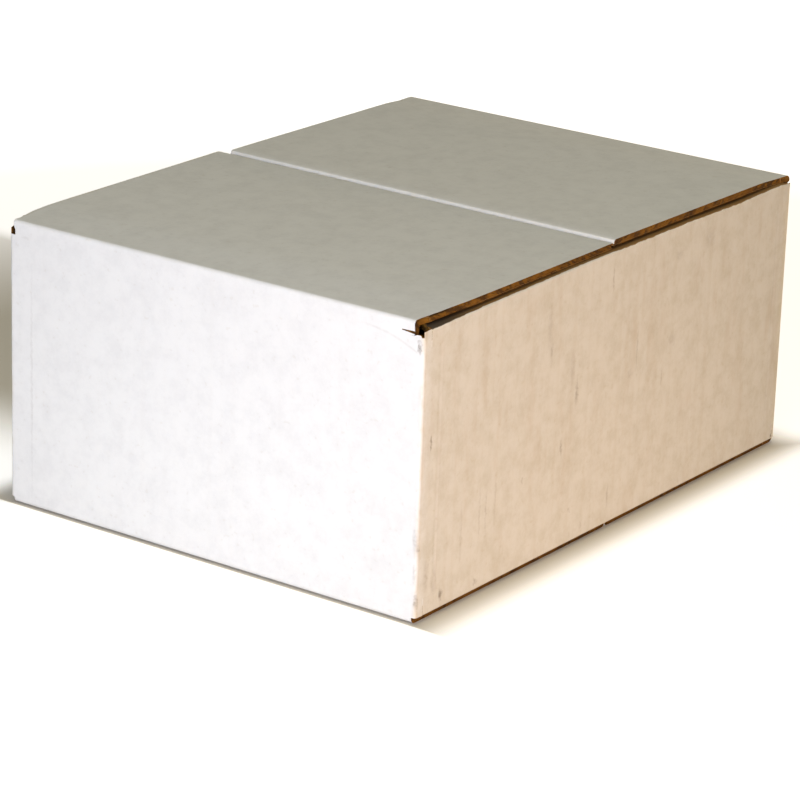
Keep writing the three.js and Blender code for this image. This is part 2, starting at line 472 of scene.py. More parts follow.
def bowLine(place):
    at = axes(place)
    along = maths("SUBTRACT", at["X"], bow["from"][0])
    drop = times(times(along, along), bow["bend"])
    off = maths("ADD", maths("SUBTRACT", at["Z"], bow["from"][1]), drop)
    line = remap(maths("ABSOLUTE", off), 0.0, bow["half"], bow["strength"], 0.0)
    line = times(line, remap(along, 0.0, bow["onset"]))
    line = times(line, remap(at["X"], bow["to"], bow["to"] + mm, 1.0, 0.0))
    return times(line, remap(at["Y"], -halfLength + mm, -halfLength + 2 * mm, 1.0, 0.0))


def makeMarkGroup():
    # dark at each mark and at the painted crease shade and shadow, the outlines made ragged
    group, given, out = socketed("marksAndShades", {"Place": "Vector"}, ["Mark"])
    ragged = noise(given["Place"], *markEdge["ragged"], out="Color")
    ragged = vectors("SUBTRACT", ragged, (0.5, 0.5, 0.5))
    place = vectors("ADD", given["Place"], vectors("MULTIPLY", ragged, markEdge["shift"]))
    worst = 0.0
    for *spot, strength in marksAndShades:
        spot = [c * mm for c in spot]
        away = vectors("SUBTRACT", place, tuple(spot[:3]))
        away = vectors("LENGTH", vectors("DIVIDE", away, tuple(spot[3:])))
        worst = most(remap(away, *markEdge["fade"], strength, 0.0), worst)
    worst = most(worst, bowLine(given["Place"]))
    patchy = remap(noise(given["Place"], *markEdge["patchy"]), *markEdge["patchRange"])
    feed(times(worst, patchy), out["Mark"])
    return group


wearAndShade = {
    "corner": (3.2 * mm, 0.6 * mm),  # the rub sets in between these distances from a vertical corner
    "patchy": (140, 4, 0.65, 0.5),
    "patchRange": (0.42, 0.68),
    "foot": (-1.2 * mm, 0.9 * mm, 1.0, 0.0),  # painted shade at the base folds sets in over this height
    "under": (-9 * mm, -4 * mm),  # and ends over this one, under the base
    "splitAndShade": (-0.2 * mm, 9 * mm),  # the inner folds' face is split, with painted shade in the gap under the outer flaps, from here to here
    "splitAndShadeFade": (0.5 * mm, 2 * mm),
    "wander": (220, 3),
    "wanderBy": 1.6 * mm,
    "far": (-145 * mm, -100 * mm),  # from the near corner's painted shade to torn kraft
    "thin": (-20 * mm, 10 * mm, 0.9 * mm, 0.0),  # under the front flap the split and its painted shade begin higher
}


def makeWearAndShadeGroup():
    # rubbed corners, painted shade at the foot, and the inner folds' split face with painted shade under
    # the outer flaps
    group, given, out = socketed("wearAndShade", {"Place": "Vector"}, ["Corner", "Foot", "SplitAndShade", "Far"])
    at = axes(given["Place"])
    reach, full = wearAndShade["corner"]
    near = [remap(maths("ABSOLUTE", at[k]), half - reach, half - full)
            for k, half in (("X", halfWidth), ("Y", halfLength))]
    patchy = remap(noise(given["Place"], *wearAndShade["patchy"]), *wearAndShade["patchRange"])
    feed(times(times(*near), patchy), out["Corner"])
    footShade = remap(at["Z"], *wearAndShade["foot"])
    feed(times(footShade, remap(at["Z"], *wearAndShade["under"])), out["Foot"])
    wander = maths("SUBTRACT", noise(given["Place"], *wearAndShade["wander"]), 0.5)
    height = maths("SUBTRACT", at["Z"], innerTopFold)
    height = maths("ADD", height, times(wander, wearAndShade["wanderBy"]))
    far = remap(at["Y"], *wearAndShade["far"])
    thin = times(far, remap(at["Y"], *wearAndShade["thin"]))
    low, high = wearAndShade["splitAndShade"]
    begun = remap(maths("SUBTRACT", height, thin), low, low + wearAndShade["splitAndShadeFade"][0])
    ended = remap(height, high - wearAndShade["splitAndShadeFade"][1], high, 1.0, 0.0)
    feed(times(begun, ended), out["SplitAndShade"])
    feed(far, out["Far"])
    return group


paperGroup = makePaperGroup()
fluteGroup = makeFluteGroup()
markAndShadeGroup = makeMarkGroup()
wearAndShadeGroup = makeWearAndShadeGroup()


def newMaterial(name):
    material = bpy.data.materials.new(name)
    material.use_nodes = True
    tree = material.node_tree
    return material, tree, tree.nodes["Principled BSDF"]


def grouped(group, place, **values):
    made = place.id_data.nodes.new("ShaderNodeGroup")
    made.node_tree = group
    feed(place, made.inputs["Place"])
    for key, value in values.items():
        made.inputs[key.replace("_", " ")].default_value = value
    return made.outputs


def sheetPlace(tree):
    made = tree.nodes.new("ShaderNodeAttribute")
    made.attribute_name = "sheetPlace"
    return made.outputs["Vector"]


def finishPaper(shader, colour, rough, height, strength):
    bump = colour.id_data.nodes.new("ShaderNodeBump")
    feedAll(bump, {"Height": height, "Strength": strength, "Distance": sheet["bump"]})
    feedAll(shader, {"Base Color": colour, "Roughness": rough, "Normal": bump.outputs[0],
                     "Specular IOR Level": sheet["shine"]})


whitePaper = {  # pairs with a colour or share each are for end and long panels
    "clear": (0.80, 0.80, 0.795),
    # the long panels' warmer, darker cloud is painted warm side light
    "cloudy": ((0.735, 0.735, 0.735), (0.70, 0.69, 0.655)),
    "cloudRange": (0.35, 0.75),
    "line": (0.66, 0.62, 0.56),
    "lineRange": (-0.4, 1.0),
    "streakRange": (0.4, 0.7),
    # the long panels' stronger flute lines are partly painted flute shade
    "lineShare": (0.04, 0.18),
    "smudge": (0.50, 0.38, 0.26),
    "smudgeShare": (0.0, 0.20),
    "fleck": (0.60, 0.54, 0.44),
    "fleckShare": 0.14,
    "rub": (0.62, 0.53, 0.40),
    "rubShare": 0.5,
    # painted shade along the base folds, where the carton meets the floor
    "footShade": (0.07, 0.06, 0.05),
    "footShadeShare": 0.9,
    "split": ((0.055, 0.040, 0.026), (0.24, 0.135, 0.045)),  # near, far: near-black painted shade in the gap, then torn kraft
    # of the marks, and of the painted crease shade and shadow
    "markAndShade": (0.13, 0.085, 0.055),
    "rough": (0.6, 0.8),
    "relief": (0.5, -0.25),  # of fibres and flute lines
    "bump": 0.12,
}


def makeWhitePaper(name, alongY):
    material, tree, shader = newMaterial(name)
    place = sheetPlace(tree)
    look = whitePaper
    paper = grouped(paperGroup, place)
    flutes = grouped(fluteGroup, place, Along_Y=float(alongY))
    wornAndShaded = grouped(wearAndShadeGroup, place)
    markAndShade = grouped(markAndShadeGroup, place)["Mark"]
    cloud = remap(paper["Cloud"], *look["cloudRange"])
    colour = mixed(cloud, look["clear"], look["cloudy"][alongY])
    streak = remap(flutes["Streak"], *look["streakRange"])
    line = times(remap(flutes["Line"], *look["lineRange"]), streak)
    colour = stain(colour, look["line"], line, look["lineShare"][alongY])
    colour = stain(colour, look["smudge"], paper["Smudge"], look["smudgeShare"][alongY])
    colour = stain(colour, look["fleck"], paper["Fleck"], look["fleckShare"])
    colour = stain(colour, look["rub"], wornAndShaded["Corner"], look["rubShare"])
    if alongY:
        # the inner folds' top: split liner showing kraft, and near-black painted shade in the gap under the
        # outer flaps
        colour = stain(colour, mixed(wornAndShaded["Far"], *look["split"]), wornAndShaded["SplitAndShade"])
    else:
        # painted shade along the foot
        colour = stain(colour, look["footShade"], wornAndShaded["Foot"], look["footShadeShare"])
    colour = stain(colour, look["markAndShade"], markAndShade)
    rough = remap(paper["Cloud"], 0.0, 1.0, *look["rough"])
    fibre, ridge = look["relief"]
    height = maths("ADD", times(paper["Fibre"], fibre), times(flutes["Line"], ridge))
    finishPaper(shader, colour, rough, height, look["bump"])
    return material


kraftPaper = {
    "clear": (0.46, 0.28, 0.125),
    "cloudy": (0.36, 0.205, 0.085),
    "fleck": (0.17, 0.09, 0.035),
    "rough": (0.7, 0.9),
}
wavePaper = {
    "clear": (0.34, 0.20, 0.085),
    "cloudy": (0.26, 0.145, 0.06),
    "fleck": (0.12, 0.065, 0.025),
    "rough": (0.75, 0.9),
}
cutPaper = {  # raw cut edges, darker than the faces
    "clear": (0.27, 0.125, 0.014),
    "cloudy": (0.15, 0.062, 0.007),
    "fleck": (0.045, 0.019, 0.004),
    "rough": (0.85, 0.95),
}
brown = {  # shared by the three
    "cloudRange": (0.3, 0.75),
    "lineRange": (-0.2, 1.0),
    "fibreRange": (0.52, 0.8),
    "crushed": (230, 3, 0.6),
    "crushRange": (0.44, 0.62, 0.0, 0.85),
    "lowRange": (-4 * mm, -2 * mm, 0.35, 0.0),  # painted shade: the base flaps' raw edges are darker
    "lined": 0.35,
    "bump": 0.3,
}


def makeKraftPaper(name, look, alongY=0.0, lined=0.0):
    material, tree, shader = newMaterial(name)
    place = sheetPlace(tree)
    paper = grouped(paperGroup, place)
    flutes = grouped(fluteGroup, place, Along_Y=alongY)
    colour = mixed(remap(paper["Cloud"], *brown["cloudRange"]), look["clear"], look["cloudy"])
    colour = stain(colour, look["cloudy"], remap(flutes["Line"], *brown["lineRange"]), lined)
    colour = stain(colour, look["fleck"], remap(paper["Fibre"], *brown["fibreRange"]))
    if look is cutPaper:
        crushed = remap(noise(place, *brown["crushed"]), *brown["crushRange"])
        # painted shade darkens the base flaps' raw edges
        low = remap(axes(place)["Z"], *brown["lowRange"])
        colour = stain(colour, look["fleck"], most(crushed, low))
    rough = remap(paper["Fibre"], 0.0, 1.0, *look["rough"])
    height = maths("ADD", paper["Fibre"], times(flutes["Line"], -lined))
    finishPaper(shader, colour, rough, height, brown["bump"])
    return material


melt = {"clear": (0.72, 0.58, 0.30), "cloudy": (0.60, 0.44, 0.19), "rough": (0.3, 0.5), "depth": 0.1}


def makeHotMelt():
    material, tree, shader = newMaterial("hot_melt")
    place = tree.nodes.new("ShaderNodeTexCoord").outputs["Object"]
    paper = grouped(paperGroup, place)
    colour = mixed(paper["Cloud"], melt["clear"], melt["cloudy"])
    rough = remap(paper["Cloud"], 0.0, 1.0, *melt["rough"])
    feedAll(shader, {"Base Color": colour, "Roughness": rough, "Subsurface Weight": melt["depth"]})
    return material


whiteX = makeWhitePaper("white_liner_end", 0)
whiteY = makeWhitePaper("white_liner_side", 1)
kraftX = makeKraftPaper("kraft_liner_end", kraftPaper, 0.0, brown["lined"])
kraftY = makeKraftPaper("kraft_liner_side", kraftPaper, 1.0, brown["lined"])
flutePaper = makeKraftPaper("fluted_paper", wavePaper)
rawEdge = makeKraftPaper("raw_edge", cutPaper)
hotMelt = makeHotMelt()
print("materials made")


def dress(obj, slot, *materials):
    for material in materials:
        obj.data.materials.append(material)


def keepPlaces(obj, unfold=None):
    # stores each point's place on the blank
    focus(obj)
    mesh = obj.data
    places = mesh.attributes.new("sheetPlace", "FLOAT_VECTOR", "POINT")
    flat = []
    for v in mesh.vertices:
        flat.extend(unfold(v.co) if unfold else v.co)
    places.data.foreach_set("vector", flat)


# sleeve: the four panels, one sheet of liner round a kraft body

sleeve = {
    "rolls": (1.3 * mm, 3 * mm),  # radius of the liner at the front and the back corners
    "bodyRoll": 2.65 * mm,
    "rollSteps": 6,
    "longEdge": 100 * mm,  # only a whole panel has edges longer than this
    "skin": 2 * mm,  # points this near to a face belong to it
    "creaseInset": 12.8 * mm,  # crush lines beside the corners
    "creaseHalf": 1.2 * mm,
    "creaseDepth": 0.18 * mm,
    "sideFold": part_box("right_top_flap")[1].y,  # half length of the inner folds
    "endFold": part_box("front_top_flap")[1].x,  # half length of the outer folds
    "foldCorner": 4 * mm,  # raw rim at the ends of the outer folds
    "foot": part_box("front_panel")[0].z,
    "earTop": innerTopFold + 0.5 * mm,  # the long panels' corners stand up into the slots
    "earReach": (0.55 * mm, 1.3 * mm),
    "rows": 12,
    "lipRows": (2.6 * mm, 1.2 * mm),  # below the fold's part of the wall
    "sinks": (0.5 * mm, 1.2 * mm),  # the long walls draw in towards the corners, more at the back
    "sinkReach": 9 * mm,
    "sinkCuts": (0.65, 1),
}
fray = {  # near corner
    "lip": (0.2 * mm, -0.7 * mm, 0.2 * mm),
    "lipFrom": 111 * mm,
    "lipDepth": 1.2 * mm,
    "peak": (0, -0.2 * mm, 1.0 * mm),
    "peakSpan": (113 * mm, 116 * mm),
    "peakReach": 0.5 * mm,
    "earTip": (0, 0, -0.8 * mm),
}


def sleeveOutline(name, inset, radii):
    obj = rectangle(name, 2 * (halfWidth - inset), 2 * (halfLength - inset))
    bpy.ops.mesh.delete(type="ONLY_FACE")
    for end, radius in zip((-1, 1), radii):
        pick(obj, lambda co: abs(co.y - end * (halfLength - inset)) < tiny)
        bpy.ops.mesh.bevel(offset=radius, segments=sleeve["rollSteps"], affect="VERTICES")
    return obj


def sleeveWall(name, inset, radii, outer):
    low, high = wallLeg, topFold - wallLeg
    sideLow, sideHigh = innerBaseFold + wallLeg, innerTopFold - wallLeg
    obj = sleeveOutline(name, inset, radii)
    if outer:
        for axis, run in ((0, 2 * halfWidth), (1, 2 * halfLength)):
            pickEdges(obj, lambda a, b: abs(a[axis] - b[axis]) > sleeve["longEdge"])
            bpy.ops.mesh.subdivide(number_cuts=ripplePoints * wavesIn(run) - 1)
    selectAll()
    heights = [sleeve["foot"], low, sideLow, *steps(sideLow, sideHigh, sleeve["rows"])[1:]]
    if outer:
        heights += [high - down for down in sleeve["lipRows"]] + [high, sleeve["earTop"]]
    else:
        heights.append(high)
    drawOut([(0, h) for h in heights])
    for side in (-1, 1):  # columns where the folds end
        cut((0, side * sleeve["sideFold"], 0), (0, 1, 0))
        cut((side * sleeve["endFold"], 0, 0), (1, 0, 0))
    faceOut(obj, lambda p: p.normal.x * p.center.x + p.normal.y * p.center.y)
    if outer:
        pressCreases(obj)
        pressRipples(obj, sideLow, sideHigh)
    else:
        for side in (-1, 1):
            for back in sleeve["sinkCuts"]:
                cut((0, side * (halfLength - back * sleeve["sinkReach"]), 0), (0, 1, 0))
    sinkEnds(obj)
    inWall = 2 * thick

    def beyond(c):
        if abs(c.x) > halfWidth - inWall and abs(c.y) < sleeve["sideFold"]:
            return c.z < sideLow or c.z > sideHigh
        if abs(c.y) > halfLength - inWall and abs(c.x) < sleeve["endFold"]:
            return c.z < low or c.z > high
        return c.z > high and abs(c.x) < halfWidth - sleeve["earReach"][c.y > 0]

    dropFaces(obj, beyond)
    if outer:
        frayCorner(obj, high)
    setMode("OBJECT")
    return obj


def sinkEnds(obj):
    # draws the long walls in towards the corners
    drawn = lambda co: max(0.0, 1 - (halfLength - abs(co.y)) / sleeve["sinkReach"]) ** 2
    for side in (-1, 1):
        for end, sink in zip((-1, 1), sleeve["sinks"]):
            near = lambda co: side * co.x > halfWidth - sleeve["skin"] and end * co.y > 0
            swell(obj, "X", -side * sink, lambda co: drawn(co) if near(co) else 0.0)


def frayCorner(obj, high):
    # the torn lip below the near slot, and the worn tips of the ears
    front = fray["lipDepth"] - halfLength
    start, end = fray["peakSpan"]
    pick(obj, lambda co: co.z > high - hair and co.x > fray["lipFrom"] and co.y < front)
    move(*fray["lip"])
    pick(obj, lambda co: abs(co.z - high) < fray["peakReach"] and start < co.x < end and co.y < -halfLength)
    move(*fray["peak"])
    pick(obj, lambda co: co.z > sleeve["earTop"] - hair and abs(co.y) > halfLength - sleeve["skin"])
    move(*fray["earTip"])


def pressCreases(obj):
    for axis, half in ((0, halfWidth), (1, halfLength)):
        normal = (1 - axis, axis, 0)
        for side in (-1, 1):
            middle = side * (half - sleeve["creaseInset"])
            for at in (middle - sleeve["creaseHalf"], middle, middle + sleeve["creaseHalf"]):
                cut((at * normal[0], at * normal[1], 0), normal)
            pick(obj, lambda co: abs(co[axis] - middle) < 10 * tiny)
            bpy.ops.transform.shrink_fatten(value=-sleeve["creaseDepth"])


def pressRipples(obj, low, high):
    step = waveLength / ripplePoints
    margin = sleeve["creaseInset"] + 2 * sleeve["creaseHalf"]
    onFace = lambda value, half: abs(abs(value) - half) < 10 * tiny
    isLow = lambda value, half: abs(value) < half - margin and round(value / step) % ripplePoints == 0

    def trough(co):
        if not low + mm < co.z < high - mm:
            return False
        if onFace(co.y, halfLength):
            return isLow(co.x, halfWidth)
        return onFace(co.x, halfWidth) and isLow(co.y, halfLength)

    pick(obj, trough)
    bpy.ops.transform.shrink_fatten(value=-rippleDepth)


def onSide(face):
    return abs(face.normal.x) > abs(face.normal.y)


def againstFold(face):
    c = face.center
    atSide = abs(c.y) < sleeve["sideFold"] - mm and abs(c.x) > halfWidth - sleeve["skin"]
    atEnd = abs(c.x) < sleeve["endFold"] - sleeve["foldCorner"]
    return abs(face.normal.z) > mostly and (atSide or atEnd)


def makeSleeve():
    liner = sleeveWall("sleeve_liner", 0, sleeve["rolls"], True)
    dress(liner, "white_board", whiteX, whiteY, rawEdge)
    paint(liner, 1, onSide)
    thicken(liner, linerThick, raw=2)
    paint(liner, 0, againstFold)  # these rims stay white
    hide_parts("front_panel", "back_panel", "left_panel", "right_panel")
    body = sleeveWall("sleeve_body", linerThick, (sleeve["bodyRoll"],) * 2, False)
    dress(body, "kraft_board", kraftX, kraftY, rawEdge)
    paint(body, 1, onSide)
    thicken(body, thick - linerThick)
    paint(body, 2, lambda f: abs(f.normal.z) > squarely)
    for obj in (liner, body):
        keepPlaces(obj)
        smooth(obj)
        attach(obj, "carton")


makeSleeve()
print("sleeve made")


# flaps: each has a white liner and a kraft body that carry on round the fold, and flutes between them

rolledEdge = [  # back from the free edge, and down
    (1.6 * mm, 0.05 * mm), (0.6 * mm, 0.35 * mm), (0.15 * mm, 1.0 * mm), (0.0, 2.2 * mm),
]
pressedEdge = [
    (1.6 * mm, 0.03 * mm), (0.6 * mm, 0.12 * mm), (0.15 * mm, 0.4 * mm), (0.0, 0.9 * mm),
]
foldRise = [  # how the inner top folds swell up along the carton
    (-151 * mm, 0.0), (-126 * mm, 0.25), (-83 * mm, 0.5), (-40 * mm, 0.9), (0.0, 1.0),
    (60 * mm, 0.95), (104 * mm, 0.5), (139 * mm, 0.9), (151 * mm, 0.6),
]
fold = {
    "rows": 14,
    "steps": 7,
    "bodyColumns": 30,
    "bevel": (0.3 * mm, 1.2 * mm),  # the body's inner corner
    "rise": 1.7 * mm,  # inner top folds stand up
    "riseFade": (26 * mm, 6 * mm),
    "hang": 0.4 * mm,  # inner base folds hang down, at their face only
    "hangFade": (2.4 * mm, 0.6 * mm),
    "dip": -1.1 * mm,  # outer top folds sink
    "dipFade": (30 * mm, 3 * mm),
    "wallPart": -thick - 0.4 * mm,  # below this a flap's board is in the wall
    "endRound": 0.65,  # a shortened end's share at the bend
    "nips": [(-mm, 6 * mm, 1.0), (6 * mm, 18 * mm, 0.55), (18 * mm, 30 * mm, 0.2)],  # from, to, share
}
flute = {
    "overlap": 0.2 * mm,  # into the crushed board at the fold
    "recess": 1.2 * mm,  # from the free edge
    "narrow": 0.6 * mm,
    "flat": 0.66,  # height left in the crushed free edge
    "endZone": 5 * mm,
    "endWall": 0.1 * mm,
}
tear = {  # split below the front fold, from the near slot
    "from": 105 * mm,
    "rows": (-6.1 * mm, -5.5 * mm),
    "spread": (-8, 3),  # degrees
}


def flapSpec(name, nodeName, place, bearing, **more):
    low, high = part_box(nodeName)
    size = high - low
    sideways = bearing in (-90, 90)
    return {
        "name": name,
        "node": nodeName,
        "place": place,
        "bearing": math.radians(bearing),
        "sideways": sideways,
        "half": (size.y if sideways else size.x) / 2,  # of the fold
        "depth": size.x if sideways else size.y,
        "taper": 0.0,
        "lift": 0.0,
        "skew": 0.0,
        "slots": (0.0, 0.0),  # taken off the wall part at its two ends
        "ends": (0.0, 0.0),  # taken off the flap itself
        "nip": (0.0, 0.0),  # taken off it beside the fold
        "edge": rolledEdge,
        "roll": thick,
        "torn": False,
        "base": False,
        "body": None if "base" in more else name,  # a base flap stays with the carton
    } | more


seamLift = 1.4 * mm
seamSkew = -1.6 * mm
slotGap = 1.2 * mm
inner = {"taper": 32 * mm, "roll": 1.0 * mm}
flaps = [
    flapSpec("front_flap", "front_top_flap", (0, -halfLength, topFold), 0,
             skew=seamSkew, slots=(slotGap, 3 * mm), ends=(-1.8 * mm, 0.0), nip=(0.0, 3.2 * mm),
             edge=pressedEdge, roll=1.8 * mm, torn=True),
    flapSpec("back_flap", "back_top_flap", (0, halfLength, topFold), 180,
             skew=seamSkew, slots=(slotGap, slotGap), ends=(0.0, 4.4 * mm), lift=seamLift),
    flapSpec("left_flap", "left_top_flap", (-halfWidth, 0, innerTopFold), -90, **inner),
    flapSpec("right_flap", "right_top_flap", (halfWidth, 0, innerTopFold), 90, **inner),
    flapSpec("front_base", "front_base_flap", (0, -halfLength, 0), 0, base=True),
    flapSpec("back_base", "back_base_flap", (0, halfLength, 0), 180, base=True),
    flapSpec("left_base", "left_base_flap", (-halfWidth, 0, innerBaseFold), -90, base=True, **inner),
    flapSpec("right_base", "right_base_flap", (halfWidth, 0, innerBaseFold), 90, base=True, **inner),
]


def trimTaper(flap, fill):
    if flap["taper"]:
        for side in (-1, 1):
            end, normal = (side * flap["half"], 0, 0), (side * flap["depth"], flap["taper"], 0)
            cut(end, normal, clear=True, fill=fill)


def drawBack(obj, half, amounts, part):
    # moves what lies past the new ends of a part of the flap onto them
    for side, amount in zip((-1, 1), amounts):
        if amount:
            end = half - amount
            pick(obj, lambda co: part(co) and side * co.x > min(end, half) - tiny)
            bpy.ops.transform.resize(value=(0, 1, 1), center_override=(side * end, 0, 0))
            weld()


def inWallPart(co):
    return co.z < fold["wallPart"]


def trimEnds(obj, flap):
    # draws the ends of the wall part back from the corner slots, and sets the flap's own ends
    half, bendEnd = flap["half"], bendZone + mm
    drawBack(obj, half, flap["slots"], inWallPart)
    drawBack(obj, half, flap["ends"], lambda co: co.y > bendEnd)
    rounds = [fold["endRound"] * max(0.0, amount) for amount in flap["ends"]]
    drawBack(obj, half, rounds, lambda co: co.y <= bendEnd and not inWallPart(co))


def nipEnds(obj, flap):
    # crushed ends beside the fold, less and less further on
    for low, high, share in fold["nips"]:
        amounts = [share * amount for amount in flap["nip"]]
        drawBack(obj, flap["half"], amounts, lambda co: low < co.y <= high and not inWallPart(co))


def openTear(obj):
    low, high = tear["rows"]
    dropFaces(obj, lambda c: c.x > tear["from"] and low < c.z < high)
    for row, angle in zip(tear["rows"], tear["spread"]):
        pick(obj, lambda co: co.x > tear["from"] and abs(co.z - row) < hair)
        turnAbout((tear["from"], 0, row), "Y", math.radians(angle))


def setEdge(obj, flap):
    # skews the free edge, and lifts the flap about its fold
    half, depth = flap["half"], flap["depth"]
    if flap["skew"]:
        pick(obj, lambda co: co.y > depth - 1.2 * crushWidth)
        turnAbout((0, depth, 0), "Z", -math.atan2(flap["skew"], half))
    if flap["lift"]:
        pick(obj, lambda co: co.y > bendZone)
        turnAbout((0, 0, 0), "X", -math.atan2(flap["lift"], depth))


def flapLiner(flap, white):
    depth, half, roll = flap["depth"], flap["half"], flap["roll"]
    crushed = depth - crushWidth
    columns = ripplePoints * wavesIn(2 * half)
    path = [(0, row) for row in (-wallLeg, *tear["rows"], -bendZone)]
    path += arcPath((roll, -roll), roll, 180, 90, fold["steps"])
    path += [(u, 0) for u in steps(bendZone, crushed, fold["rows"])]
    path += [(depth - back, -down) for back, down in flap["edge"]]
    obj = edgeRow(flap["name"] + "_liner", 2 * half, columns)
    drawOut(path)
    step = 2 * half / columns
    trough = lambda co: round((co.x + half) / step) % ripplePoints == 0
    pick(obj, lambda co: foldEnd < co.y < crushed - mm and trough(co))
    move(0, 0, -rippleDepth)
    trimTaper(flap, False)
    trimEnds(obj, flap)
    nipEnds(obj, flap)
    if flap["torn"]:
        openTear(obj)
    setEdge(obj, flap)
    faceOut(obj, lambda p: p.normal.z - p.normal.y)
    dress(obj, "white_board", white, rawEdge)
    thicken(obj, linerThick, raw=1)
    if not flap["torn"]:  # the wall part's rim lies against the sleeve
        paint(obj, 0, lambda f: f.center.z < 0.5 * mm - bendZone and abs(f.normal.y) < mostly)
    return obj


def flapBody(flap, kraft):
    liner, inside = linerThick, thick - linerThick
    depth, half, roll = flap["depth"], flap["half"], flap["roll"]
    short, long = fold["bevel"]
    path = [(liner, -wallLeg), (liner, -bendZone)]
    path += arcPath((roll, -roll), roll - liner, 180, 90, fold["steps"])
    path += [(bendZone, -liner), (foldEnd, -liner), (foldEnd, -inside)]
    path += [(u, -inside) for u in steps(foldEnd, depth, fold["rows"])[1:]]
    path += [(u, -thick) for u in steps(depth, thick + long, fold["rows"])]
    path += [(thick + short, -thick - short), (thick, -thick - long), (thick, -wallLeg)]
    obj = edgeRow(flap["name"] + "_body", 2 * half, fold["bodyColumns"])
    drawOut(path + path[:1])
    weld()
    for side in (-1, 1):
        pick(obj, lambda co: side * co.x > half - tiny)
        bpy.ops.mesh.fill()
    trimTaper(flap, True)
    trimEnds(obj, flap)
    nipEnds(obj, flap)
    setEdge(obj, flap)
    faceOut(obj)
    dress(obj, "kraft_board", kraft, rawEdge)
    behindFold = lambda f: f.center.z < -thick and f.normal.y < -mostly  # crushed board
    paint(obj, 1, lambda f: abs(f.normal.x) > mostly or behindFold(f))
    return obj


def fluteSheet(name, width, path):
    # a waved paper, waves along X, drawn out along a path; its two ends stand up as cut walls
    columns = wavePoints * wavesIn(width)
    half, step = width / 2, width / columns
    obj = edgeRow(name, width, columns)
    drawOut(path)
    level = lambda co: round((co.x + half) / step)
    for phase in range(wavePoints):
        rise = swing * math.cos(math.tau * phase / wavePoints)
        if abs(rise) > tiny:
            pick(obj, lambda co: level(co) % wavePoints == phase)
            move(0, 0, rise)
    pick(obj, lambda co: level(co) in (0, columns))
    move(0, 0, -2 * swing)
    for end, side in ((1, -1), (columns - 1, 1)):
        pick(obj, lambda co: level(co) == end)
        move(side * (step - flute["endWall"]), 0, swing * (1 - math.cos(math.tau / wavePoints)))
    return obj


def flapFlutes(flap):
    middle, depth, half = -thick / 2, flap["depth"], flap["half"]
    crushed = depth - crushWidth
    rows = steps(foldEnd - flute["overlap"], crushed, fold["rows"]) + [depth - flute["recess"]]
    start, end = flap["ends"]
    width = 2 * half - flute["narrow"] - start - end
    obj = fluteSheet(flap["name"] + "_flutes", width, [(u, middle) for u in rows])
    selectAll()
    move((start - end) / 2, 0, 0)
    pick(obj, lambda co: co.y > crushed + mm)
    foot = (0, 0, linerThick - thick)
    bpy.ops.transform.resize(value=(1, 1, flute["flat"]), center_override=foot)
    trimTaper(flap, False)
    nipEnds(obj, flap)
    setEdge(obj, flap)
    faceOut(obj, lambda p: p.normal.z)
    dress(obj, "kraft_board", flutePaper, rawEdge)
    thicken(obj, paperThick, 0)
    nearEnd = half - flute["endZone"]
    paint(obj, 1, lambda f: abs(f.center.x) > nearEnd and abs(f.normal.x) > squarely)
    return obj


def swellFold(obj, flap):
    # moves a fold up or down, less and less into its wall and its flap
    def swollen(kind, along=lambda co: 1):
        wall = lambda co: fade(co.z, -wallLeg, -thick)
        swell(obj, "Z", fold[kind], lambda co: wall(co) * fade(co.y, *fold[kind + "Fade"]) * along(co))

    ahead = 1 if flap["bearing"] > 0 else -1
    if flap["sideways"] and flap["base"]:
        swollen("hang")
    elif flap["sideways"]:
        swollen("rise", lambda co: between(ahead * co.x, foldRise))
    elif not flap["base"]:
        swollen("dip")


def makeFlap(flap):
    turn = (0, math.pi if flap["base"] else 0, flap["bearing"])
    axis, rotation = Vector(flap["place"]), Euler(turn).to_matrix()

    def unfold(co):  # stands the flap up in line with its wall
        return axis + rotation @ Vector((co.x, max(0.0, min(co.y, -co.z)), co.y + co.z))

    liner = flapLiner(flap, whiteY if flap["sideways"] else whiteX)
    body = flapBody(flap, kraftY if flap["sideways"] else kraftX)
    flutes = flapFlutes(flap)
    for obj in (liner, body, flutes):
        keepPlaces(obj, unfold)
        swellFold(obj, flap)
        settle(obj, flap["place"], turn)
        smooth(obj)
    if flap["body"]:
        for obj in (liner, body):
            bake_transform(obj)
        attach(flutes, flap["body"])
    else:
        for obj in (liner, body, flutes):
            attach(obj, "carton")
    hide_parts(flap["node"])


for flap in flaps:
    makeFlap(flap)
print("flaps made")


# insert and tab: flat three-ply boards, made lying in X and Y with the flutes along Y

insert = {
    "corner": 8 * mm,  # rounded top corners of the dividers
    "padCorner": 4 * mm,
    "cornerSteps": 6,
    "trims": (22.5, 45, 67.5),  # degrees, of the cuts that round the fluted paper
    "lapHalf": 1.9 * mm,  # half width of a lap slot
    "lapSpare": 0.4 * mm,
    "recess": 0.3 * mm,  # the fluted paper ends this far inside the liners
    "rows": 8,
}


def plyLiner(name, run, height, corner, everyCorner):
    obj = rectangle(name, run, height)
    move(0, height / 2, thick / 2)
    if corner:
        pick(obj, lambda co: everyCorner or co.y > height / 2)
        bpy.ops.mesh.bevel(offset=corner, segments=insert["cornerSteps"], affect="VERTICES")
    return obj


def cutSlots(obj, height, slots, fromTop):
    depth = height / 2 + insert["lapSpare"]
    foot = height - depth if fromTop else depth
    for at in slots:
        for edge in (at - insert["lapHalf"], at + insert["lapHalf"]):
            cut((edge, 0, 0), (1, 0, 0))
    cut((0, foot, 0), (0, 1, 0))

    def inSlot(c):
        pastFoot = c.y > foot if fromTop else c.y < foot
        return pastFoot and any(abs(c.x - at) < insert["lapHalf"] for at in slots)

    dropFaces(obj, inSlot)


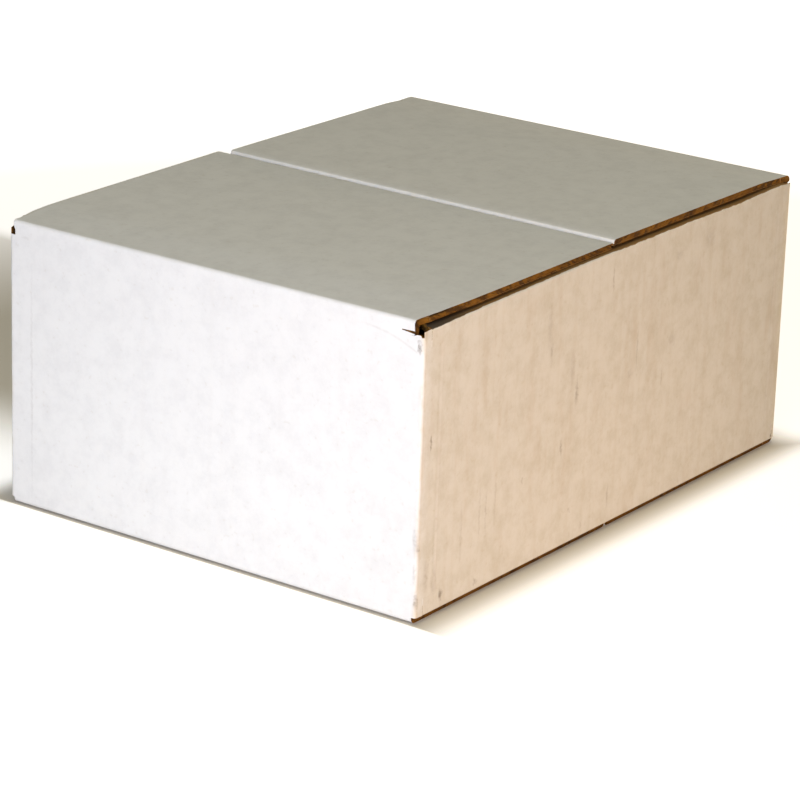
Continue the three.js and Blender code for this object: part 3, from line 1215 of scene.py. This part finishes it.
def trimCorners(run, height, corner, everyCorner):
    # takes the fluted paper back to the liners' rounded corners, in straight cuts
    reach = corner - insert["recess"]
    for side in (-1, 1):
        for end in ((-1, 1) if everyCorner else (1,)):
            centre = Vector((side * (run / 2 - corner), height / 2 + end * (height / 2 - corner), 0))
            for angle in map(math.radians, insert["trims"]):
                out = Vector((side * math.cos(angle), end * math.sin(angle), 0))
                cut(centre + out * reach, out, clear=True)


def plyBoard(name, run, height, corner=0, everyCorner=False, slots=(), fromTop=True, tapers=()):
    liner = plyLiner(name, run, height, corner, everyCorner)
    recess = insert["recess"]
    path = [(y, 0) for y in steps(recess, height - recess, insert["rows"])]
    flutes = fluteSheet(name + "_flutes", run - 2 * recess, path)
    if corner:
        trimCorners(run, height, corner, everyCorner)
    for obj in (liner, flutes):
        focus(obj)
        if slots:
            cutSlots(obj, height, slots, fromTop)
        for at, normal in tapers:
            cut(at, normal, clear=True)
        faceOut(obj, lambda p: p.normal.z)
    thicken(liner, linerThick)
    thicken(flutes, paperThick, 0)
    under = copyOf(liner, name + "_under")
    settle(under, (0, 0, linerThick - thick))
    for obj, material in ((liner, kraftX), (under, kraftX), (flutes, flutePaper)):
        obj.data.materials.append(material)
    focus(liner)
    under.select_set(True)
    flutes.select_set(True)
    bpy.ops.object.join()
    smooth(liner)
    return liner


def seat(obj, nodeName, body, place, turn=(0, 0, 0)):
    settle(obj, place, turn)
    keepPlaces(obj)
    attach(obj, body)
    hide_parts(nodeName)


def nodeMiddle(nodeName):
    low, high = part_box(nodeName)
    return (low + high) / 2


def nodeSize(nodeName):
    low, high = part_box(nodeName)
    return high - low


def standUp(obj, nodeName, bearing, body):
    # sets a board upright in its node's place; bearing 0 runs along X, 90 along Y
    middle = nodeMiddle(nodeName)
    place = (middle.x, middle.y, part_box(nodeName)[0].z)
    if bearing == 90:
        obj.data.materials[0] = kraftY
    seat(obj, nodeName, body, place, (math.pi / 2, 0, math.radians(bearing)))


def makeInsert():
    longNames = ["long_divider_1", "long_divider_2"]
    crossNames = ["cross_divider_1", "cross_divider_2", "cross_divider_3"]
    sets = (
        (longNames, 90, [nodeMiddle(n).y for n in crossNames], True),
        (crossNames, 0, [nodeMiddle(n).x for n in longNames], False),
    )
    for names, bearing, slots, fromTop in sets:
        size = nodeSize(names[0])
        run = size.y if bearing else size.x
        first = plyBoard(names[0] + "_board", run, size.z, insert["corner"], False, slots, fromTop)
        boards = [first] + [copyOf(first, n + "_board") for n in names[1:]]
        for obj, nodeName in zip(boards, names):
            standUp(obj, nodeName, bearing, "insert")
    size = nodeSize("insert_pad")
    pad = plyBoard("insert_pad_board", size.x, size.y, insert["padCorner"], True)
    seat(pad, "insert_pad", "insert", (0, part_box("insert_pad")[0].y, nodeMiddle("insert_pad").z))


makeInsert()
print("insert made")

tab = {"taper": 10 * mm}


def makeTab():
    # glue tab of the maker's joint, its free edge shorter than its root
    size = nodeSize("glue_tab")
    half = size.x / 2
    tapers = [((-half, 0, 0), (tab["taper"], -size.x, 0)), ((-half, size.z, 0), (tab["taper"], size.x, 0))]
    obj = plyBoard("glue_tab_board", size.x, size.z, tapers=tapers)
    standUp(obj, "glue_tab", 0, "carton")


makeTab()
for name in ("front_left_bead", "front_right_bead", "back_left_bead", "back_right_bead", "tab_glue"):
    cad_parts[name].data.materials.clear()
    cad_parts[name].data.materials.append(hotMelt)
print("tab and glue made")


# studio

lamps = {
    "key": {"place": (0.34, -0.93, 0.24), "size": 0.7, "power": 8.3, "colour": (0.737, 0.828, 1.0)},
    "fill": {"place": (0.85, -0.60, 0.14), "size": 0.5, "power": 4.1, "colour": (1, 0.55, 0.17)},
    "top": {"place": (0.35, -0.28, 1.5), "size": 0.9, "power": 4.8, "colour": (1.0, 0.918, 0.54)},
    "rim": {"place": (0.18, 1.25, 0.15), "size": 0.25, "power": 7.0, "colour": (1, 0.74, 0.42)},
    "back": {"place": (-0.95, 0.85, 0.10), "size": 0.16, "power": 5.0, "colour": (0.95, 0.97, 1.0)},
    "lowFront": {"place": (0, -0.295, 0.012), "aim": (0, -0.155, 0.012), "size": 0.26, "tall": 0.02,
                 "power": 0.052, "colour": (0.90, 0.95, 1.0)},
    "lowRight": {"place": (0.257, 0.0, 0.012), "aim": (0.117, 0.0, 0.012), "size": 0.28, "tall": 0.02,
                 "power": 0.044, "colour": (1, 0.70, 0.50)},
}
sky = {"strength": 0.14, "colour": (1.0, 0.97, 0.90)}
ground = {
    "size": 12,
    "colour": (0.61, 0.565, 0.475),
    "rough": 0.9,
    "drop": 0.03 * mm,  # just clear of the base
    "glow": (0.05, 0.76, 1.0),  # to the eye: beside the carton, round it, far off; the low glow beside the carton is painted shadow
    "right": 22 * mm,  # how far from the right panel the glow comes back, the painted shadow's width
    "front": 2.4 * mm,
    "left": (26 * mm, 6 * mm),
    "leftFade": (-120 * mm, -30 * mm),  # along the left panel
    "back": (-10 * mm, 25 * mm),
    "far": (0.25, 0.7),
}


def makeLamp(name, spec):
    data = bpy.data.lights.new(name, "AREA")
    data.shape = "RECTANGLE" if "tall" in spec else "DISK"
    data.size = spec["size"]
    data.size_y = spec.get("tall", spec["size"])
    data.energy = spec["power"]
    data.color = spec["colour"]
    obj = bpy.data.objects.new(name, data)
    obj.location = spec["place"]
    aim = Vector(spec.get("aim", (0, 0, topFold / 2)))
    obj.rotation_euler = (aim - obj.location).to_track_quat("-Z", "Y").to_euler()
    obj.visible_camera = False
    scene.collection.objects.link(obj)


def seenDirectly(tree):
    path = tree.nodes.new("ShaderNodeLightPath").outputs
    return most(path["Is Camera Ray"], most(path["Is Glossy Ray"], path["Is Transmission Ray"]))


def makeSky():
    world = bpy.data.worlds.new("studio")
    scene.world = world
    world.use_nodes = True
    tree = world.node_tree
    seen = seenDirectly(tree)
    colour = mixed(seen, sky["colour"], (1, 1, 1))
    strength = remap(seen, 0.0, 1.0, sky["strength"], 1.0)
    feedAll(tree.nodes["Background"], {"Color": colour, "Strength": strength})


def makeFloor():
    deselect()
    bpy.ops.mesh.primitive_plane_add(size=ground["size"], location=(0, 0, -ground["drop"]))
    floor = named("floor")
    material, tree, shader = newMaterial("pale_floor")
    place = tree.nodes.new("ShaderNodeTexCoord").outputs["Object"]
    at = axes(place)
    beside, around, far = ground["glow"]
    # painted shadow: the glow is held low near the carton's right, front, left and back
    right = remap(at["X"], halfWidth, halfWidth + ground["right"])
    front = remap(at["Y"], -halfLength - ground["front"], -halfLength, 1.0, 0.0)
    left = remap(at["X"], *(-halfWidth - d for d in ground["left"]), 1.0, 0.0)
    left = times(left, remap(at["Y"], *ground["leftFade"], 1.0, 0.0))
    back = remap(at["Y"], *(halfLength + d for d in ground["back"]))
    clear = most(most(left, right), most(front, back))
    glow = maths("ADD", times(clear, around - beside), beside)
    glow = most(glow, remap(vectors("LENGTH", place), *ground["far"], 0.0, far))
    feedAll(shader, {"Base Color": ground["colour"], "Roughness": ground["rough"],
                     "Specular IOR Level": 0.0, "Emission Color": (1, 1, 1),
                     "Emission Strength": times(seenDirectly(tree), glow)})
    floor.data.materials.append(material)


for name, spec in lamps.items():
    makeLamp(name, spec)
makeSky()
makeFloor()
scene.view_settings.view_transform = "Standard"
print("studio made")
